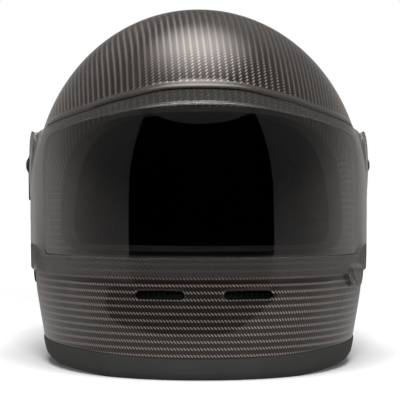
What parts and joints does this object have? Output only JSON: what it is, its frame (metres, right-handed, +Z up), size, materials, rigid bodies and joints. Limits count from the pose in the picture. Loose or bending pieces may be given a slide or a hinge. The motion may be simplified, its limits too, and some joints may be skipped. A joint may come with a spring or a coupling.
{
  "type": "full face motorcycle helmet",
  "caption": "Full face motorcycle helmet with a domed shell, chin bar with vent slots, pivoting clear visor, foam liner, cheek pads and a buckled chin strap.",
  "frame": {"origin": "middle of the footprint, on the surface that the helmet stands on", "axes": "+Z up, the eye opening looks along -Y, the wearer's left is +X"},
  "size_m": [0.2616, 0.342, 0.2645],
  "materials": {
    "carbon_shell": "twill carbon under a gloss clear coat",
    "rubber_trim": "matte",
    "foam": "beaded foam",
    "liner_fabric": "brushed knit",
    "roll_fabric": "grained synthetic leather",
    "black_plastic": "moulded",
    "black_metal": "satin black",
    "steel": "satin",
    "visor_sheet": "light smoke, polished",
    "webbing": "woven"
  },
  "bodies": {
    "helmet": {"outer_shell": "carbon_shell", "bottom_trim": "rubber_trim", "eyeport_seal": "rubber_trim", "crown_eps": "foam", "chin_eps": "foam", "crown_liner": "liner_fabric", "cheek_pad_left": "liner_fabric", "cheek_pad_right": "liner_fabric", "neck_roll": "roll_fabric", "pad_studs": "black_plastic", "vent_mesh_left": "black_metal", "vent_mesh_right": "black_metal", "pivot_base_left": "black_plastic", "pivot_base_right": "black_plastic", "base_screws": "steel", "pivot_washer_left": "steel", "pivot_washer_right": "steel", "pivot_cover_left": "black_metal", "pivot_cover_right": "black_metal", "pivot_screw_left": "black_metal", "pivot_screw_right": "black_metal", "strap_left": "webbing", "strap_right": "webbing", "strap_sleeve_left": "roll_fabric", "strap_sleeve_right": "roll_fabric", "anchor_plate_left": "steel", "anchor_plate_right": "steel", "strap_rivets": "black_metal", "snap_stud": "black_metal", "snap_socket": "black_metal"},
    "visor": {"visor": "visor_sheet"},
    "buckle_ring_upper": {"ring_upper": "steel"},
    "buckle_ring_lower": {"ring_lower": "steel"}
  },
  "joints": [
    {"name": "visor_tilt", "type": "hinge", "parent": "helmet", "child": "visor", "pos_m": [0, 0.00505, 0.147], "axis": [-1, 0, 0], "range_deg": [0, 50]},
    {"name": "ring_upper_swing", "type": "hinge", "parent": "helmet", "child": "buckle_ring_upper", "pos_m": [0.04, -0.00295, 0.0166], "axis": [0, 1, 0], "range_deg": [0, 5]},
    {"name": "ring_lower_swing", "type": "hinge", "parent": "helmet", "child": "buckle_ring_lower", "pos_m": [0.04, -0.00295, 0.0114], "axis": [0, 1, 0], "range_deg": [-5, 0]}
  ]
}
